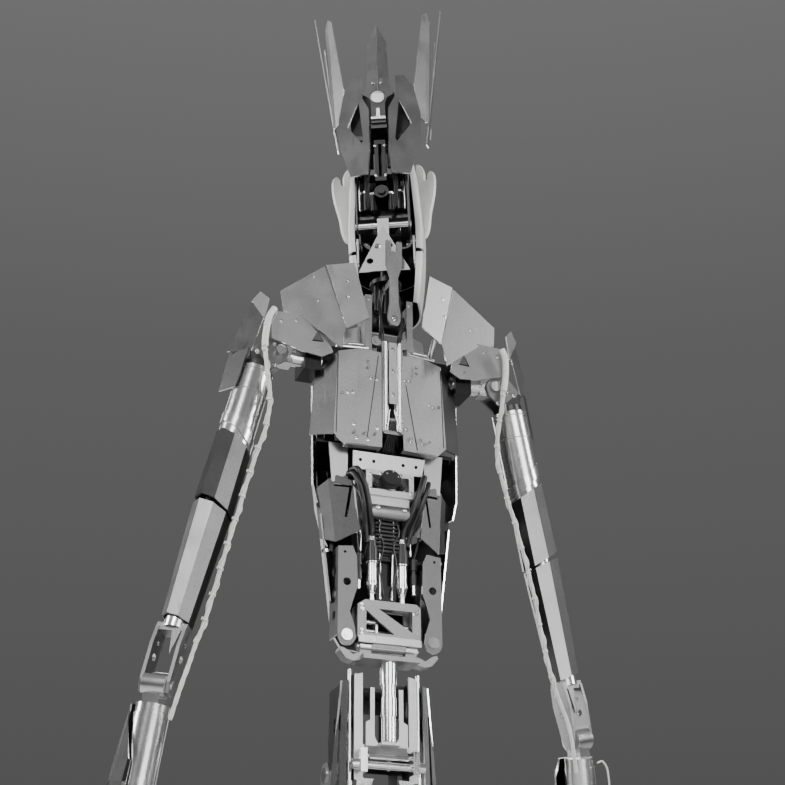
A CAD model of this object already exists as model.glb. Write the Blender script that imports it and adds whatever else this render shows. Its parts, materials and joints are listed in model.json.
import json
import math

import bmesh
import bpy
from mathutils import Matrix, Vector
from mathutils.bvhtree import BVHTree


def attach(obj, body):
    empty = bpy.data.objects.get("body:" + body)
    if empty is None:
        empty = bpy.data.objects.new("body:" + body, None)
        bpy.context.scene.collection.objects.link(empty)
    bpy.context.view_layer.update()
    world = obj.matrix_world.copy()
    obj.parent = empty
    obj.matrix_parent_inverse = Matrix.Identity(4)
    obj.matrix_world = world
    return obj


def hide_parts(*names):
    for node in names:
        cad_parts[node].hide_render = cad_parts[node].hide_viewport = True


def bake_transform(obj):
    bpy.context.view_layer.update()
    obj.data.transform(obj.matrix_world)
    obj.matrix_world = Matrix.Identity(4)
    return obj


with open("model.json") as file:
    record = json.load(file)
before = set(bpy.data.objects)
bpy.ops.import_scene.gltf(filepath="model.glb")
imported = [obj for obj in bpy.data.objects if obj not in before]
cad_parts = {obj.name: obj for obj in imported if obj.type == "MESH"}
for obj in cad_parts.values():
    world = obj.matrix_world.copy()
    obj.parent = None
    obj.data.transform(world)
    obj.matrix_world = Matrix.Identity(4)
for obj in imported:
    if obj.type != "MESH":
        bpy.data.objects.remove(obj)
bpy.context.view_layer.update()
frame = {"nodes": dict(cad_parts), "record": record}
NODES = frame["nodes"]
scene = bpy.context.scene

# Places and sizes are in millimetres, as in CAD. Lights, camera and floor are in metres.
MM = 0.001
MIRRORED = (-1, 1)
SIDES = ("left", "right")
OUT_BACK = (0, -1, 0)
UPWARD = (0, 0, 1)

# how the robot is held, as in CAD
SHOULDER = Vector((134, -50, 1381))
ARM_AXIS = 17.7
ARM_RAISE = {"left": 14.6, "right": 13.3}
ARM_SWING = {"left": -3.5, "right": 5.7}
HEAD_SHIFT, HEAD_YAW, HEAD_TILT = 23.1, -25, -1.7
HEAD_PIVOT = Vector((-0.2, 55, 1500))
HEAD = (Matrix.Translation((HEAD_SHIFT, 0, HEAD_PIVOT.z)) @ Matrix.Rotation(math.radians(HEAD_YAW), 4, "Z")
        @ Matrix.Rotation(math.radians(HEAD_TILT), 4, "Y") @ Matrix.Translation(-HEAD_PIVOT))
SKULL_CENTRE = HEAD @ Vector((0, 78, 1650))

BEVEL_FROM = math.radians(40)
SHARP_FROM = math.radians(38)
SAME_PLANE = 0.9995


# ---- materials ---------------------------------------------------------------------
def new_material(name):
    m = bpy.data.materials.new(name)
    m.use_nodes = True
    nt = m.node_tree
    nt.nodes.clear()
    out = nt.nodes.new("ShaderNodeOutputMaterial")
    bsdf = nt.nodes.new("ShaderNodeBsdfPrincipled")
    nt.links.new(bsdf.outputs[0], out.inputs[0])
    return m, nt, bsdf


def noise(nt, scale, detail=4.0, rough=0.55, stretch=(1, 1, 1)):
    place = nt.nodes.new("ShaderNodeTexCoord")
    mapping = nt.nodes.new("ShaderNodeMapping")
    mapping.inputs["Scale"].default_value = stretch
    texture = nt.nodes.new("ShaderNodeTexNoise")
    texture.inputs["Scale"].default_value = scale
    texture.inputs["Detail"].default_value = detail
    texture.inputs["Roughness"].default_value = rough
    nt.links.new(place.outputs["Object"], mapping.inputs["Vector"])
    nt.links.new(mapping.outputs[0], texture.inputs["Vector"])
    return texture.outputs["Fac"]


def ramp(nt, fac, stops):
    """Colours or plain values placed along a 0 to 1 input."""
    r = nt.nodes.new("ShaderNodeValToRGB")
    while len(r.color_ramp.elements) < len(stops):
        r.color_ramp.elements.new(0.5)
    for e, (pos, v) in zip(r.color_ramp.elements, stops):
        c = v if isinstance(v, tuple) else (v, v, v)
        e.position = pos
        e.color = (*c, 1)
    nt.links.new(fac, r.inputs[0])
    return r.outputs[0]


def maths(nt, a, b, kind="MULTIPLY"):
    n = nt.nodes.new("ShaderNodeMath")
    n.operation = kind
    nt.links.new(a, n.inputs[0])
    if isinstance(b, (int, float)):
        n.inputs[1].default_value = b
    else:
        nt.links.new(b, n.inputs[1])
    return n.outputs[0]


def bump(nt, bsdf, height, strength, distance):
    b = nt.nodes.new("ShaderNodeBump")
    b.inputs["Strength"].default_value = strength
    b.inputs["Distance"].default_value = distance
    nt.links.new(height, b.inputs["Height"])
    nt.links.new(b.outputs[0], bsdf.inputs["Normal"])


def metal(name, dark, light, r0, r1, grain=900.0, stretch=(1, 1, 1), strength=0.25, metallic=1.0):
    """Sheet or turned metal: fine grain, slow blotches of handling, small scratches."""
    m, nt, bsdf = new_material(name)
    bsdf.inputs["Metallic"].default_value = metallic
    blotches = noise(nt, 28.0, 5.0, 0.6)
    fine = noise(nt, grain, 3.0, 0.6, stretch)
    mix = maths(nt, maths(nt, blotches, 0.22), maths(nt, fine, 0.78), "ADD")
    mid = tuple((a + b) / 2 for a, b in zip(dark, light))
    nt.links.new(ramp(nt, mix, [(0.30, dark), (0.50, mid), (0.72, light)]), bsdf.inputs["Base Color"])
    scratch = noise(nt, 260.0, 2.0, 0.5, (1.0, 1.0, 0.06))
    marks = ramp(nt, scratch, [(0.62, 0.0), (0.70, 1.0)])
    middle, spread = (r0 + r1) / 2, (r1 - r0) * 0.3
    rough = ramp(nt, blotches, [(0.3, middle - spread), (0.7, middle + spread)])
    nt.links.new(maths(nt, rough, maths(nt, marks, -0.06), "ADD"), bsdf.inputs["Roughness"])
    bump(nt, bsdf, maths(nt, fine, maths(nt, marks, 0.4), "ADD"), strength, 0.00012)
    return m


def plastic(name, dark, light, r0, r1, strength=0.2, coat=0.0, sub=0.0):
    """Moulded plastic or rubber with a fine grain, and a clear coat or some depth where asked."""
    m, nt, bsdf = new_material(name)
    blotches = noise(nt, 22.0, 5.0, 0.6)
    fine = noise(nt, 1400.0, 3.0, 0.6)
    nt.links.new(ramp(nt, blotches, [(0.3, dark), (0.7, light)]), bsdf.inputs["Base Color"])
    nt.links.new(ramp(nt, blotches, [(0.3, r0), (0.7, r1)]), bsdf.inputs["Roughness"])
    bsdf.inputs["Coat Weight"].default_value = coat
    bsdf.inputs["Coat Roughness"].default_value = 0.15
    bsdf.inputs["Subsurface Weight"].default_value = sub
    bsdf.inputs["Subsurface Radius"].default_value = (0.004, 0.004, 0.003)
    bump(nt, bsdf, fine, strength, 0.0001)
    return m


def grey(v, warmth=0.0):
    return (v, v * (1 - warmth * 0.2), v * (1 - warmth))


LENGTHWISE, CROSSWISE = (1, 1, 0.1), (1, 1, 9)
M = {
    "satin_sheet": metal("satin_sheet", grey(0.24), grey(0.40), 0.34, 0.50, strength=0.4),
    "light_sheet": metal("light_sheet", grey(0.50), grey(0.66), 0.28, 0.42, strength=0.3),
    "pale_sheet": metal("pale_sheet", grey(0.36), grey(0.54), 0.36, 0.50, strength=0.4),
    "mid_sheet": metal("mid_sheet", grey(0.14), grey(0.24), 0.34, 0.50, strength=0.4),
    "dark_sheet": metal("dark_sheet", grey(0.045), grey(0.09), 0.32, 0.50, strength=0.35),
    "dark_metal": metal("dark_metal", grey(0.018), grey(0.05), 0.28, 0.46, strength=0.3),
    "void_black": metal("void_black", grey(0.006), grey(0.014), 0.5, 0.7, strength=0.2, metallic=0.4),
    "bright_steel": metal("bright_steel", grey(0.74), grey(0.90), 0.10, 0.22, 1500, LENGTHWISE, 0.1),
    "bright_aluminium": metal("bright_aluminium", grey(0.62), grey(0.82), 0.20, 0.30, 1200, CROSSWISE, 0.15),
    "edge_metal": metal("edge_metal", grey(0.86), grey(0.97), 0.18, 0.28, strength=0.1),
    "black_plastic": plastic("black_plastic", grey(0.008), grey(0.018), 0.30, 0.48),
    "black_rubber": plastic("black_rubber", grey(0.006), grey(0.014), 0.26, 0.42, 0.3),
    "white_shell": plastic("white_shell", grey(0.70, 0.02), grey(0.80, 0.02), 0.30, 0.42, 0.12, 0.25, 0.05),
    "white_cable": plastic("white_cable", grey(0.66, 0.03), grey(0.80, 0.03), 0.40, 0.55, 0.4),
    "eye_gloss": plastic("eye_gloss", grey(0.70, 0.02), grey(0.80, 0.02), 0.08, 0.14, 0.05, 0.6),
}


# ---- finish of the CAD pieces --------------------------------------------------------
def thin_faces(mesh, limit):
    """Indices of the faces that belong to a narrow flat strip, such as the cut edge of a sheet."""
    bm = bmesh.new()
    bm.from_mesh(mesh)
    bm.faces.ensure_lookup_table()
    seen, found = set(), []
    for f in bm.faces:
        if f.index in seen:
            continue
        patch, stack = [], [f]
        seen.add(f.index)
        while stack:
            k = stack.pop()
            patch.append(k)
            for e in k.edges:
                for n in e.link_faces:
                    if n.index not in seen and n.normal.dot(k.normal) > SAME_PLANE:
                        seen.add(n.index)
                        stack.append(n)
        area = sum(k.calc_area() for k in patch)
        pts = [v.co for k in patch for v in k.verts]
        lo = [min(p[i] for p in pts) for i in range(3)]
        hi = [max(p[i] for p in pts) for i in range(3)]
        reach = math.dist(lo, hi)
        if reach > 4 * MM and area / reach < limit:
            found.extend(k.index for k in patch)
    bm.free()
    return found


def break_edges(o, width):
    b = o.modifiers.new("broken_edges", "BEVEL")
    b.width = width * MM
    b.segments = 2
    b.limit_method = "ANGLE"
    b.angle_limit = BEVEL_FROM
    return b


def dress(name, mat, edge=None, width=0.0, strip=2.6):
    """Finish of a CAD piece. Strips narrower than strip, the cut edges of its sheet, take the edge finish."""
    o = NODES[name]
    o.data.materials.clear()
    o.data.materials.append(M[mat])
    if edge:
        o.data.materials.append(M[edge])
        for k in thin_faces(o.data, strip * MM):
            o.data.polygons[k].material_index = 1
    if width:
        b = break_edges(o, width)
        if edge:
            b.material = 1


def paint(name, mat, test):
    """Another finish on the faces of a CAD piece that pass the test of their centre and normal."""
    o = NODES[name]
    o.data.materials.append(M[mat])
    k = len(o.data.materials) - 1
    for p in o.data.polygons:
        if test(p.center * 1000.0, p.normal):
            p.material_index = k


FINISHES = [
    ("satin_sheet", "edge_metal", 0.5, "crown_windows crown_blades back_plates collar_plates neck_base head_gimbal"
                                       " neck_lever waist_gate shanks thighs feet"),
    ("pale_sheet", "edge_metal", 0.5, "shoulder_plates"),
    ("dark_sheet", "edge_metal", 0.5, "flank_panels hip_panels abdomen_brackets"),
    ("mid_sheet", "edge_metal", 0.5, "waist_sides"),
    ("satin_sheet", "edge_metal", 0.4, "waist_column"),
    ("light_sheet", "edge_metal", 0.4, "belly_box"),
    ("dark_sheet", "edge_metal", 0.4, "pelvis_frame chest_shell"),
    ("dark_metal", None, 0.3, "chest_frame"),
    ("dark_metal", None, 0.0, "base_plate"),
]
ARM_FINISHES = [
    ("mid_sheet", "edge_metal", 0.4, "arm_bracket"),
    ("dark_sheet", "edge_metal", 0.3, "arm_sleeve"),
    ("mid_sheet", "edge_metal", 0.3, "arm_shell"),
    ("satin_sheet", "edge_metal", 0.3, "elbow_fork"),
    ("dark_metal", "edge_metal", 0.3, "forearm_guard"),
    ("bright_aluminium", None, 0.4, "shoulder_block forearm"),
    ("dark_metal", None, 0.4, "palm"),
    ("satin_sheet", None, 0.3, "fingers thumb"),
]
for row in frame["record"]["subparts"]:
    dress(row["node"], row["material_slot"])
for mat, edge, width, names in FINISHES:
    for name in names.split():
        dress(name, mat, edge, width)
for mat, edge, width, names in ARM_FINISHES:
    for name in names.split():
        for side in SIDES:
            dress(f"{name}_{side[0]}", mat, edge, width)
dress("skull_frame", "dark_sheet", "edge_metal", 0.3, 1.8)


def facet(angle):
    """Test for the flat of an eight-sided arm cover that faces this way, in degrees about the vertical."""
    way = Vector((math.cos(math.radians(angle)), math.sin(math.radians(angle)), 0))

    def test(centre, normal):
        flat = Vector((normal.x, normal.y, 0))
        return flat.length > 0.8 and flat.normalized().dot(way) > 0.95
    return test


for name in ("face_mask", "jaw_mask"):
    paint(name, "dark_metal", lambda c, n: (c - SKULL_CENTRE).dot(n) < 0)
paint("pelvis_frame", "light_sheet", lambda c, n: 927 < c.z < 1004 and c.y < -44)
paint("hip_panels", "bright_aluminium", lambda c, n: abs(c.x) < 36 and c.y < -40 and c.z < 912)
paint("belly_box", "light_sheet", lambda c, n: abs(c.x) > 33)
paint("back_plates", "dark_sheet", lambda c, n: abs(c.x) > 70 and abs(n.x) > 0.35)
for name, mat, angle in (
        ("arm_shell_l", "light_sheet", -125), ("arm_shell_l", "satin_sheet", -80), ("arm_shell_l", "dark_sheet", -35),
        ("arm_shell_r", "light_sheet", -111), ("arm_shell_r", "dark_sheet", -66), ("arm_shell_r", "dark_sheet", -156),
        ("arm_sleeve_l", "satin_sheet", -80), ("arm_sleeve_r", "light_sheet", -111)):
    paint(name, mat, facet(angle))
for name in ("arm_bracket_l", "arm_bracket_r"):
    paint(name, "dark_sheet", lambda c, n: abs(c.x) > 150 and c.z < 1376 and abs(n.z) < 0.8)

# ---- camera, floor and light, in metres ----------------------------------------------
PICTURE, FOCAL, SENSOR = 785.0, 1628.0, 36.0
AZ, EL, ROLL = math.radians(-21.2), math.radians(25.1), math.radians(-0.34)
AIM_X, AIM_Y, EYE_HEIGHT, EYE_REACH = 0.0121, -0.040, 0.548, 1.740
cam_data = bpy.data.cameras.new("camera")
cam = bpy.data.objects.new("camera", cam_data)
scene.collection.objects.link(cam)
scene.camera = cam
cam_data.sensor_width = SENSOR
cam_data.lens = SENSOR * FOCAL / PICTURE
cam_data.clip_start = 0.05
cam_data.clip_end = 60.0
ahead = Vector((-math.sin(AZ) * math.cos(EL), math.cos(AZ) * math.cos(EL), math.sin(EL)))
right = Vector((math.cos(AZ), math.sin(AZ), 0.0))
up = right.cross(ahead)
rolled_right = right * math.cos(ROLL) + up * math.sin(ROLL)
rolled_up = -right * math.sin(ROLL) + up * math.cos(ROLL)
place = Matrix((rolled_right, rolled_up, -ahead)).transposed().to_4x4()
place.translation = Vector((AIM_X + EYE_REACH * math.sin(AZ), AIM_Y - EYE_REACH * math.cos(AZ), EYE_HEIGHT))
cam.matrix_world = place

floor_mesh = bpy.data.meshes.new("floor")
bm = bmesh.new()
bmesh.ops.create_grid(bm, x_segments=2, y_segments=2, size=6.0)
bm.to_mesh(floor_mesh)
bm.free()
floor = bpy.data.objects.new("floor", floor_mesh)
scene.collection.objects.link(floor)
floor_paint, nt, bsdf = new_material("floor_paint")
nt.links.new(ramp(nt, noise(nt, 3.0), [(0.3, grey(0.60)), (0.7, grey(0.64))]), bsdf.inputs["Base Color"])
bsdf.inputs["Roughness"].default_value = 0.7
floor_mesh.materials.append(floor_paint)

# the studio is darker towards the ground
world = bpy.data.worlds.new("studio")
scene.world = world
world.use_nodes = True
nt = world.node_tree
background = nt.nodes["Background"]
coordinates = nt.nodes.new("ShaderNodeTexCoord")
separate = nt.nodes.new("ShaderNodeSeparateXYZ")
nt.links.new(coordinates.outputs["Generated"], separate.inputs[0])
nt.links.new(ramp(nt, separate.outputs["Z"], [(0.0, 0.10), (0.45, 0.17), (0.9, 0.34)]), background.inputs["Color"])
background.inputs["Strength"].default_value = 0.7


def soft_box(name, place, target, size, power):
    d = bpy.data.lights.new(name, "AREA")
    d.shape = "RECTANGLE"
    d.size, d.size_y = size
    d.energy = power
    o = bpy.data.objects.new(name, d)
    scene.collection.objects.link(o)
    o.location = place
    o.rotation_euler = (Vector(target) - Vector(place)).to_track_quat("-Z", "Y").to_euler()


soft_box("key_left", (-2.2, -2.6, 2.9), (0, 0, 1.3), (0.9, 1.8), 72)
soft_box("low_back", (0.3, -2.8, 0.5), (0, 0, 1.35), (1.4, 0.5), 16)
soft_box("high_back", (0.3, -2.9, 1.8), (0, 0, 1.35), (1.3, 0.9), 24)
soft_box("rim_right", (2.4, -1.4, 2.2), (0, 0, 1.3), (0.4, 2.2), 55)
soft_box("rim_left", (-2.3, 0.8, 1.9), (0, 0, 1.2), (0.4, 2.2), 60)
soft_box("front_fill", (0.6, 3.0, 2.4), (0, 0, 1.3), (2.0, 2.0), 40)


# ---- tools for the small parts -------------------------------------------------------
def arm_point(side, p):
    """A point given along the hanging arm, moved to where that arm is held."""
    swing = Matrix.Rotation(math.radians(ARM_SWING[side]), 3, "X")
    lift = Matrix.Rotation(math.radians(-ARM_RAISE[side]), 3, "Y")
    q = SHOULDER + swing @ (lift @ Vector(p))
    return Vector((-q.x, q.y, q.z)) if side == "left" else q


def curve_through(points, step=2.5):
    """A smooth line through the points, with a point about every step."""
    pts = [Vector(p) for p in points]
    full = [pts[0] * 2 - pts[1]] + pts + [pts[-1] * 2 - pts[-2]]
    out = []
    for a, b, c, d in zip(full, full[1:], full[2:], full[3:]):
        n = max(2, int((c - b).length / step))
        for k in range(n):
            t = k / n
            square, cube = 2 * a - 5 * b + 4 * c - d, 3 * b - a - 3 * c + d
            out.append(0.5 * (2 * b + (c - a) * t + square * t ** 2 + cube * t ** 3))
    out.append(pts[-1])
    return out


def frames_along(line):
    """Two directions across the line at each point, carried along it without spin."""
    t = (line[1] - line[0]).normalized()
    u = t.orthogonal().normalized()
    out = []
    for k, p in enumerate(line):
        q = (line[min(k + 1, len(line) - 1)] - line[max(k - 1, 0)]).normalized()
        u = (t.rotation_difference(q) @ u).normalized()
        t = q
        out.append((p, u, t.cross(u)))
    return out


def around(u, v, sides):
    """Directions evenly spaced round a circle in the plane of u and v."""
    return [u * math.cos(2 * math.pi * k / sides) + v * math.sin(2 * math.pi * k / sides) for k in range(sides)]


class SmallParts:
    """Small parts of one finish on one body, gathered into one mesh."""

    def __init__(self, name, mat):
        self.name, self.mat, self.verts, self.faces = name, mat, [], []

    def rings(self, rows):
        """Skin over rings of points, closed at both ends."""
        base, sides = len(self.verts), len(rows[0])
        for row in rows:
            self.verts.extend(row)
        for j in range(len(rows) - 1):
            for k in range(sides):
                a, b = base + j * sides + k, base + j * sides + (k + 1) % sides
                self.faces.append((a, b, b + sides, a + sides))
        self.faces.append(tuple(base + k for k in reversed(range(sides))))
        self.faces.append(tuple(base + (len(rows) - 1) * sides + k for k in range(sides)))

    def turned(self, at, axis, profile, sides=20):
        """Turned part: (height, radius) pairs along the axis."""
        z = Vector(axis).normalized()
        x = z.orthogonal().normalized()
        ring = around(x, z.cross(x), sides)
        self.rings([[Vector(at) + z * h + d * r for d in ring] for h, r in profile])

    def rod(self, p, q, r):
        """Round rod with chamfered ends."""
        p, q = Vector(p), Vector(q)
        n = (q - p).length
        c = min(0.4, r * 0.25, n * 0.2)
        self.turned(p, q - p, [(0, r - c), (c, r), (n - c, r), (n, r - c)], 16)

    def swept(self, line, r, sides=8, offset=0.0, turns_per_mm=0.0, phase=0.0):
        """Round wire along a line, wound about it at the offset."""
        run, last, centres = 0.0, line[0], []
        for p, u, v in frames_along(line):
            run += (p - last).length
            last = p
            a = phase + 2 * math.pi * turns_per_mm * run
            centres.append(p + (u * math.cos(a) + v * math.sin(a)) * offset)
        self.rings([[p + d * r for d in around(u, v, sides)] for p, u, v in frames_along(centres)])

    def bundle(self, line, strands, r, pitch):
        """Strands that touch, wound about the line. Returns the radius of the bundle."""
        spread = r / math.sin(math.pi / strands)
        for k in range(strands):
            self.swept(line, r * 0.97, 8, spread, 1.0 / pitch, 2 * math.pi * k / strands)
        return spread + r

    def tie(self, line, k, r, width=2.2):
        """Cable tie round the line at its point k: a band with its square lock."""
        p, u, v = frames_along(line)[k]
        t = u.cross(v)
        self.turned(p - t * width / 2, t, [(0, r), (0.2, r + 0.6), (width - 0.2, r + 0.6), (width, r)], 18)
        self.block(p + u * (r + 0.9), (u, v, t), (1.5, 1.7, 1.4))

    def block(self, centre, axes, half):
        u, v, t = (Vector(a) for a in axes)
        base = len(self.verts)
        for sz in (-1, 1):
            for sx, sy in ((-1, -1), (1, -1), (1, 1), (-1, 1)):
                self.verts.append(Vector(centre) + u * sx * half[0] + v * sy * half[1] + t * sz * half[2])
        for f in ((3, 2, 1, 0), (4, 5, 6, 7), (0, 1, 5, 4), (1, 2, 6, 5), (2, 3, 7, 6), (3, 0, 4, 7)):
            self.faces.append(tuple(base + k for k in f))

    def slab(self, x0, x1, y0, y1, z0, z1):
        self.block(((x0 + x1) / 2, (y0 + y1) / 2, (z0 + z1) / 2), ((1, 0, 0), (0, 1, 0), (0, 0, 1)),
                   ((x1 - x0) / 2, (y1 - y0) / 2, (z1 - z0) / 2))

    def prism(self, outline, y0, y1):
        self.rings([[Vector((x, y, z)) for x, z in outline] for y in (y0, y1)])

    def screw(self, at, axis, r, h):
        """Button head with a socket, on a thin washer."""
        self.turned(at, axis, [(-0.3, r * 1.35), (0.3, r * 1.35), (0.35, r), (h * 0.7, r * 0.96), (h, r * 0.72),
                               (h, r * 0.42), (h * 0.35, r * 0.40)], 18)

    def placed(self, m):
        self.verts = [m @ Vector(v) for v in self.verts]
        return self

    def made(self, body=None, bevel=0.0):
        """The mesh as an object that rides the body."""
        me = bpy.data.meshes.new(self.name)
        me.from_pydata([tuple(c * MM for c in v) for v in self.verts], [], self.faces)
        me.validate()
        bm = bmesh.new()
        bm.from_mesh(me)
        bmesh.ops.recalc_face_normals(bm, faces=bm.faces)
        bm.to_mesh(me)
        bm.free()
        me.materials.append(M[self.mat])
        me.shade_smooth()
        me.set_sharp_from_angle(angle=SHARP_FROM)
        o = bpy.data.objects.new(self.name, me)
        scene.collection.objects.link(o)
        if bevel:
            break_edges(o, bevel)
        if body:
            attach(o, body)
        return o


def surface_from_behind(*names):
    """Where a line going forward at x, z first meets these CAD pieces, and the normal there."""
    trees = []
    for name in names:
        o = NODES[name]
        verts = [o.matrix_world @ v.co * 1000.0 for v in o.data.vertices]
        trees.append(BVHTree.FromPolygons(verts, [tuple(p.vertices) for p in o.data.polygons]))

    def hit(x, z):
        best = None
        for tree in trees:
            spot, normal, _, far = tree.ray_cast(Vector((x, -300, z)), Vector((0, 1, 0)))
            if spot is not None and (best is None or far < best[2]):
                best = (spot, normal if normal.y < 0 else -normal, far)
        return best
    return hit


bpy.context.view_layer.update()

# ---- back: screws, seams and the cable channel ---------------------------------------
rear = surface_from_behind("shoulder_plates", "back_plates", "collar_plates", "belly_box", "waist_gate",
                           "waist_sides", "abdomen_brackets", "neck_base")
SHOULDER_SCREWS = [(-97, 1485), (-93, 1451), (-57, 1482), (-57, 1460), (107, 1485), (102, 1447), (65, 1482), (66, 1457)]
BACK_SCREWS = [(-26, 1363), (-19, 1362), (16, 1365), (22, 1366), (-53, 1342), (-47, 1343), (-46, 1303), (-43, 1286),
               (-30, 1285), (23, 1288), (38, 1289), (-19, 1300), (17, 1303), (48, 1340), (53, 1338)]
COLLAR_SCREWS = [(-118, 1420), (118, 1420), (-136, 1416), (136, 1416)]
WAIST_SCREWS = [(-34, 1054), (34, 1054), (-30, 1088), (30, 1088), (-12, 1248), (12, 1248)]
screws = SmallParts("back_screws", "bright_steel")
for spots, radius in ((SHOULDER_SCREWS + BACK_SCREWS + COLLAR_SCREWS, 1.7), (WAIST_SCREWS, 1.5)):
    for x, z in spots:
        found = rear(x, z)
        if found:
            screws.screw(found[0], found[1], radius, 1.2)
screws.made("torso")

seams = SmallParts("back_seams", "void_black")
SEAM_STEPS = 8
for (xa, za), (xb, zb) in (((17, 1360), (31, 1280)), ((-17, 1392), (-31, 1282)),
                           ((-66, 1290), (-64, 1390)), ((66, 1290), (64, 1390))):
    line = []
    for k in range(SEAM_STEPS + 1):
        t = k / SEAM_STEPS
        found = rear(xa * (1 - t) + xb * t, za * (1 - t) + zb * t)
        if found:
            line.append(found[0] + found[1] * 0.05)
    if len(line) > 2:
        seams.swept(line, 0.5)
seams.made("torso")

COVER_FACE, COVER_TOP, COVER_FOOT = -73.2, 1411, 1332
cover = SmallParts("channel_cover", "light_sheet")
cover.slab(-4.6, 4.6, COVER_FACE, COVER_FACE + 1, COVER_FOOT, COVER_TOP)
cover.made("torso", 0.25)
channel = SmallParts("channel_screws", "bright_steel")
for z in (1402, 1374, 1344):
    channel.screw((0, COVER_FACE, z), OUT_BACK, 1.8, 1.2)
for s in MIRRORED:
    channel.rod((s * 8.6, -71.6, 1298), (s * 8.6, -71.6, 1412), 1.5)
    channel.rod((s * 3.2, -69, 1326), (s * 8.0, -73, 1300), 1.3)
channel.made("torso")
leads = SmallParts("channel_leads", "black_rubber")
for k in range(5):
    x = -4.4 + 2.2 * k
    leads.swept(curve_through([(x, -62, COVER_FOOT), (x * 0.9, -66, 1318), (x * 0.8 + 1, -68, 1304),
                               (x * 1.1, -62, 1288), (x * 1.3, -52, 1276)]), 1.0)
leads.made("torso")

# ---- belly: round bar, bolts, ribbed block, thin rods, fittings and wires ------------
bar = SmallParts("belly_bar", "satin_sheet")
bar.turned((-24.9, -57, 1203.2), (1, 0, 0),
           [(0, 6.5), (0.8, 8.4), (3, 8.6), (46.8, 8.6), (49, 8.4), (49.8, 6.5)], 32)
bar.made("torso")
belly = SmallParts("belly_bolts", "bright_steel")
for s in MIRRORED:
    belly.screw((s * 16, -65.4, 1205.5), (0, -1, 0.25), 2.3, 1.3)
    belly.rod((s * 8.5, -50, 1196), (s * 7, -47, 1104), 1.4)
    belly.rod((s * 29, -47, 1190), (s * 30, -47, 1158), 1.6)
    for z in (1228.5, 1245.5):
        belly.screw((s * 24.4, -64, z), OUT_BACK, 1.2, 0.9)
ROUND_COVER = (-1, -70.9, 1240.5)
for k in range(6):
    a = math.radians(60 * k + 20)
    belly.screw((ROUND_COVER[0] + 8.0 * math.cos(a), ROUND_COVER[1], ROUND_COVER[2] + 8.0 * math.sin(a)),
                (0, -1, 0.2), 0.9, 0.7)
belly.made("torso")
ribs = SmallParts("belly_ribs", "black_plastic")
RIB_PITCH, RIB_FOOT = 4.6, 1158
for k in range(8):
    ribs.slab(-14.5, 14.5, -53.5, -46.2, RIB_FOOT + RIB_PITCH * k, RIB_FOOT + 2.6 + RIB_PITCH * k)
ribs.slab(-12, 12, -49, -46.1, 1156, 1196)
ribs.made("torso", 0.3)

fittings = SmallParts("hose_fittings", "bright_aluminium")
CYLINDER_X, CYLINDER_Y = 18, -50
for s in MIRRORED:
    for z, axis, profile, sides in (
            (1168.5, (0, -0.15, 1), [(0, 4.6), (0.6, 5.2), (4, 5.2), (4.6, 4.4), (7, 4.4), (7.6, 4.0)], 6),
            (1143.5, UPWARD, [(0, 6.4), (0.5, 7.5), (1.6, 7.5), (2.1, 6.4)], 28),
            (1120, UPWARD, [(0, 6.2), (0.4, 6.6), (2.4, 6.6), (2.8, 6.2)], 28),
            (1108, UPWARD, [(0, 3.0), (0.3, 4.2), (2.6, 4.2), (2.9, 3.0)], 6)):
        fittings.turned((s * CYLINDER_X, CYLINDER_Y, z), axis, profile, sides)
fittings.made("torso")
wires = SmallParts("belly_wires", "black_rubber")
for s in MIRRORED:
    for k in range(3):
        wires.swept(curve_through([(s * (22 + 3 * k), -48, 1176), (s * (27 + 3 * k), -60 - 2 * k, 1196),
                                   (s * (35 + 2 * k), -68 - k, 1216), (s * (40 + 2 * k), -60, 1232)]), 1.1)
    wires.swept(curve_through([(s * 33, -48, 1154), (s * 36, -52, 1170), (s * 38, -54, 1186), (s * 36, -50, 1204)]), 1.3)
    wires.swept(curve_through([(s * 9, -56, 1196), (s * 12, -58, 1180), (s * 6, -56, 1164), (s * 10, -54, 1140),
                               (s * 4, -50, 1108)]), 0.9)
wires.made("torso")

lip = SmallParts("gate_lip", "light_sheet")
lip.prism([(-36.5, 1050), (36.5, 1050), (36.5, 1057), (33, 1058.5), (-33, 1058.5), (-36.5, 1057)], -60.6, -58.6)
lip.made("torso", 0.3)

# ---- neck: side plates and rods on the collar deck, leads and the lever's bolt -------
plates = SmallParts("neck_side_plates", "light_sheet")
for s in MIRRORED:
    plates.prism([(s * 31, 1399), (s * 52, 1399), (s * 50, 1432), (s * 31, 1441)], -44, -42)
plates.made("torso", 0.3)
rods = SmallParts("collar_rods", "bright_steel")
for s in MIRRORED:
    rods.rod((s * 26, -60, 1405), (s * 58, -59, 1403), 2.6)
    rods.rod((s * 28, -56, 1411), (s * 50, -56, 1409.5), 1.8)
    for z in (1470, 1406):
        rods.screw((s * 26, -62, z), OUT_BACK, 1.6, 1.2)
rods.made("torso")
neck_leads = SmallParts("neck_leads", "black_rubber")
for s in MIRRORED:
    for k in range(3):
        neck_leads.swept(curve_through([(s * (7 + 2.4 * k), -52, 1402), (s * (9 + 2.2 * k), -66 + k, 1420),
                                        (s * (12 + k), -68, 1440), (s * (11 + k), -64, 1462),
                                        (s * (8 + 2 * k), -62, 1484)]), 1.15)
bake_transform(neck_leads.made())
lever_bolt = SmallParts("lever_bolt", "bright_steel")
lever_bolt.screw((0, -79.5, 1440), OUT_BACK, 3.0, 2.0)
lever_bolt.rod((0, -77, 1440), (0, -58, 1440), 2.2)
lever_bolt.made("neck")

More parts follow.
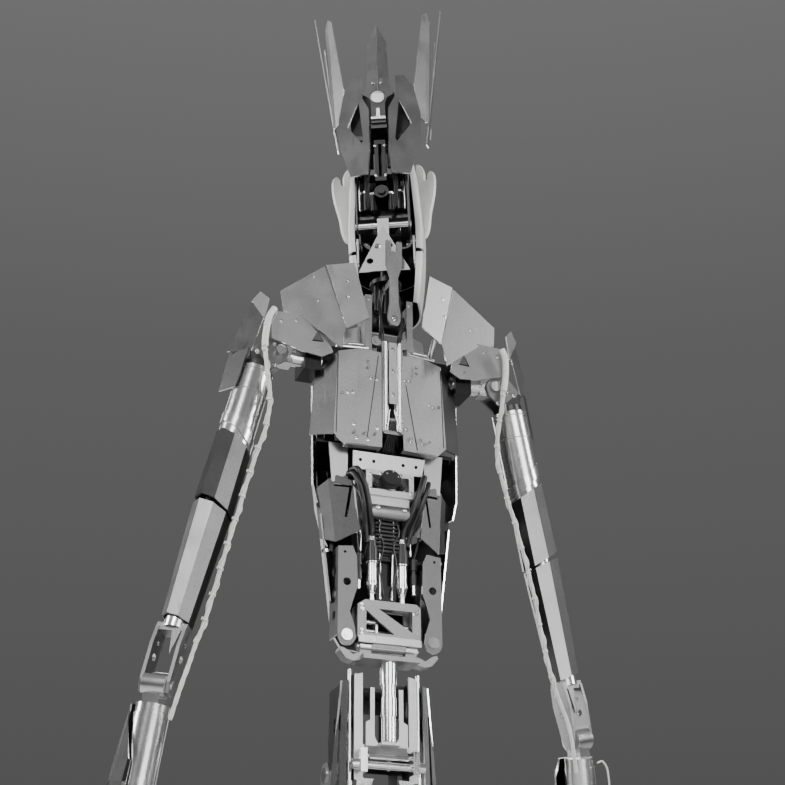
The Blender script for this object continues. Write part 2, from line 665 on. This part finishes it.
# ---- skull, drawn facing forward: springs, fittings, leads ---------------------------
MOTOR_X, PUSHER_X = 21, 11
springs = SmallParts("skull_springs", "bright_steel")
COILS, COIL_RADIUS, COIL_FOOT, COIL_HEIGHT, COIL_POINTS = 9, 6.2, 1655, 38, 24
for s in MIRRORED:
    coil = []
    for k in range(COILS * COIL_POINTS):
        a = 2 * math.pi * k / COIL_POINTS
        coil.append(Vector((s * MOTOR_X + COIL_RADIUS * math.cos(a), -2 + COIL_RADIUS * math.sin(a),
                            COIL_FOOT + COIL_HEIGHT * a / (2 * math.pi * COILS))))
    springs.swept(coil, 0.85)
springs.placed(HEAD).made("head")
works = SmallParts("skull_fittings", "bright_aluminium")
for s in MIRRORED:
    works.rod((s * 28, -3, 1604), (s * 28, -3, 1648), 1.6)
    works.turned((s * MOTOR_X, 0, 1628), UPWARD, [(0, 6.2), (0.4, 6.8), (3, 6.8), (3.4, 6.2)], 24)
    works.turned((s * PUSHER_X, -8, 1622), UPWARD, [(0, 3.6), (0.4, 4.4), (3.4, 4.4), (3.8, 3.6)], 6)
    for z in (1648, 1692):
        works.screw((s * 6, -14, z), OUT_BACK, 1.5, 1.1)
    works.rod((s * 5, -22.5, 1779), (s * 5, -19, 1788), 2.2)
# round socket and T-shaped bar between the crown plates
works.turned((0, -20.2, 1760), OUT_BACK, [(0, 8.4), (0.6, 8.6), (1.6, 8.6), (1.6, 7.2), (0.4, 7.0)], 32)
works.slab(-9, 9, -23, -20.3, 1726, 1729.5)
works.slab(-2.2, 2.2, -23, -20.3, 1729.5, 1742)
works.placed(HEAD).made("head", 0.2)
skull_leads = SmallParts("skull_leads", "black_rubber")
for s in MIRRORED:
    for k in range(3):
        skull_leads.swept(curve_through([(s * (13 + 2 * k), -6, 1712), (s * (15 + 2 * k), -12 - k, 1690),
                                         (s * (13 + 3 * k), -14, 1662), (s * (16 + 2 * k), -12, 1636),
                                         (s * (14 + 2 * k), -4, 1606)]), 1.0)
skull_leads.placed(HEAD).made("head")

# ---- arms, drawn hanging from the shoulder pin ---------------------------------------
# white leads: over the shoulder hub, down the inner rear edge, past the elbow
ARM_LEADS = {
    "left": [(23, -27, 42), (26, -28, 26), (23, -27, 0), (17, -26, -20), (9, -25, -40), (-2, -24, -68),
             (-8, -23, -104), (-7, -20, -140), (-6.5, -17, -180), (-7, -16, -215), (-6.5, -16, -255),
             (-7, -16, -300), (-7, -16, -345), (-5, -17, -372)],
    "right": [(13, -27, 42), (14.5, -28, 32), (13, -27, 18), (8, -26, 0), (1, -25, -20), (-10, -24, -50),
              (-19, -22, -80), (-20, -21, -106), (-18, -20, -134), (-14, -18, -160), (-10, -17, -205),
              (-8, -17, -250), (-8, -16, -300), (-7, -16, -345), (-5, -17, -372)],
}
ELBOW_LEADS = [(-5, -17, -368), (-4, -20, -384), (-3, -24, -402), (-2, -23, -422), (-2, -20, -442), (-2, -18, -458)]
LOOSE_STRAND, LOOSE_OFFSET, LOOSE_PITCH = 0.8, 3.1, 46.0
WRAP_SHARE, WRAP_THICKNESS = 0.13, 1.3
TIES, TIE_START, TIE_END = 13, 10, 6
HUB_BOLTS = ((0, 0, 4.2), (25, -12, 2.4), (17, -7, 2.0), (1, -20, 2.0), (12, -24, 2.0), (9, 6, 1.6))
BRACKET_FACE = -12.5
for side in SIDES:
    tag = "_" + side[0]
    line = curve_through([arm_point(side, p) for p in ARM_LEADS[side]])
    arm_leads = SmallParts("arm_leads" + tag, "white_cable")
    reach = arm_leads.bundle(line, 4, 1.05, 70.0)
    arm_leads.swept(line, LOOSE_STRAND, 8, LOOSE_OFFSET, 1 / LOOSE_PITCH)
    n = len(line)
    for k in range(TIE_START, n - TIE_END, max(1, n // TIES)):
        arm_leads.tie(line, k, reach)
    arm_leads.swept(line[:int(n * WRAP_SHARE)], reach + WRAP_THICKNESS, 14)
    o = arm_leads.made()
    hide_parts("arm_cable" + tag)
    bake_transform(o)
for side in SIDES:
    tag = "_" + side[0]
    outward = arm_point(side, OUT_BACK) - arm_point(side, (0, 0, 0))
    hub = SmallParts("hub_bolts" + tag, "bright_steel")
    for x, z, r in HUB_BOLTS:
        hub.screw(arm_point(side, (x, BRACKET_FACE, z)), outward, r, 0.5 * r + 0.6)
    hub.made("upper_arm_" + side)
    rings = SmallParts("tube_rings" + tag, "satin_sheet")
    downward = arm_point(side, (ARM_AXIS, 0, -1)) - arm_point(side, (ARM_AXIS, 0, 0))
    for w in (-36, -64):
        rings.turned(arm_point(side, (ARM_AXIS, 0, w)), downward,
                     [(0, 19.9), (0.2, 20.35), (1.4, 20.35), (1.6, 19.9)], 48)
    rings.made("turning_arm_" + side)
    elbow = SmallParts("elbow_leads" + tag, "white_cable")
    elbow.bundle(curve_through([arm_point(side, p) for p in ELBOW_LEADS]), 4, 1.0, 60.0)
    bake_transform(elbow.made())
